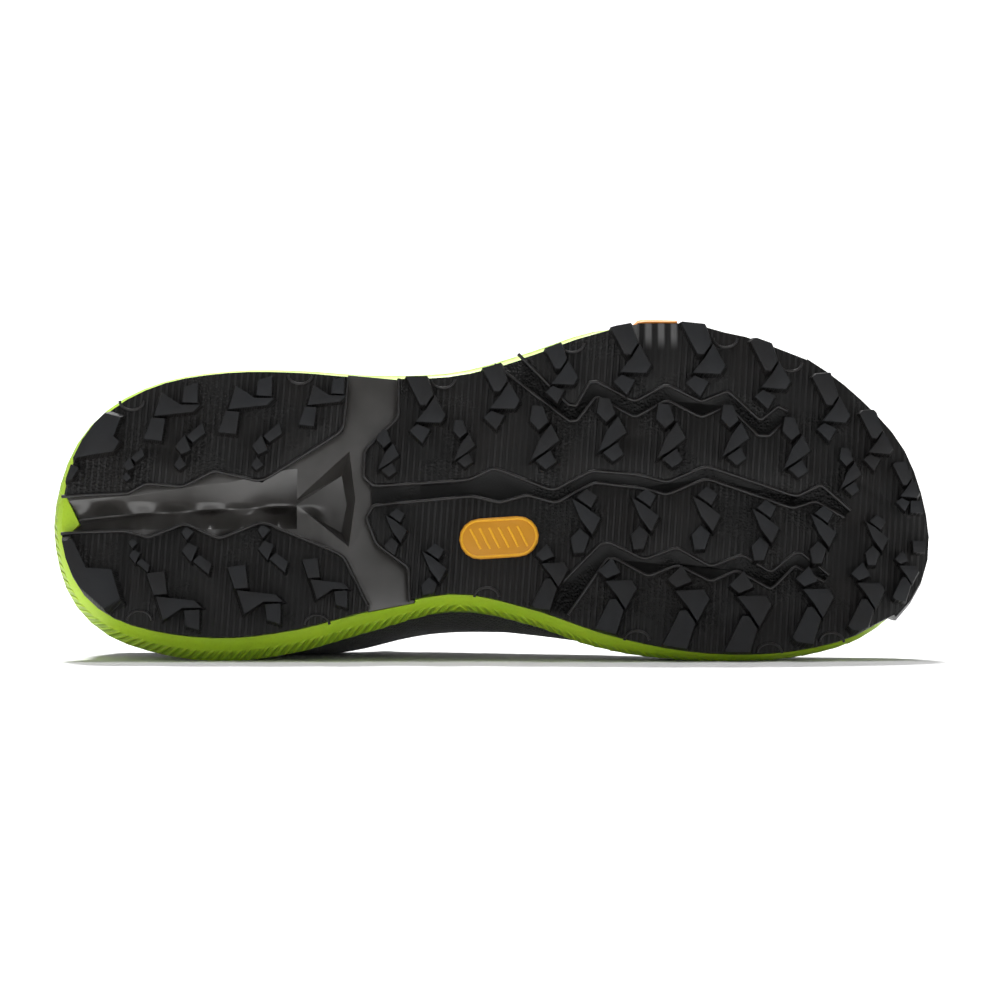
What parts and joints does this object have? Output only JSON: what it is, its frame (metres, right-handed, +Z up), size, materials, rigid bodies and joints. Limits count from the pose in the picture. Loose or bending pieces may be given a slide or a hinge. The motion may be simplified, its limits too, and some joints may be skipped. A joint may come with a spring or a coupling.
{
  "type": "trail running shoe",
  "caption": "Low-cut trail running shoe, right foot, with a lugged rubber outsole, ribbed foam midsole and black textile upper, lying on its medial side.",
  "frame": {"origin": "centre of the bounding box on the floor that the shoe lies on", "axes": "+X from heel to toe, +Y away from the tread, so the collar opens towards +Y, +Z up from the medial side to the lateral side"},
  "size_m": [0.3, 0.126, 0.1158],
  "materials": {
    "tread_rubber": "matt black rubber with fine ribs",
    "golden_rubber": "satin golden orange",
    "channel_film": "satin dark grey-brown",
    "lime_foam": "satin lime-green foam",
    "orange_rubber": "satin orange",
    "black_mesh": "black knitted mesh",
    "black_film": "thin black film",
    "footbed_fabric": "dark brushed fabric",
    "black_lace": "black flat woven lace"
  },
  "bodies": {
    "root": {"outsole_forefoot": "tread_rubber", "outsole_heel_lateral": "tread_rubber", "outsole_heel_medial": "tread_rubber", "tread_inlay": "golden_rubber", "channel_web": "channel_film", "midsole": "lime_foam", "side_tab": "orange_rubber", "upper": "black_mesh", "toe_guard": "black_film", "heel_counter": "black_film", "eyestay": "black_film", "tongue": "black_mesh", "insole": "footbed_fabric", "laces": "black_lace"}
  },
  "joints": []
}
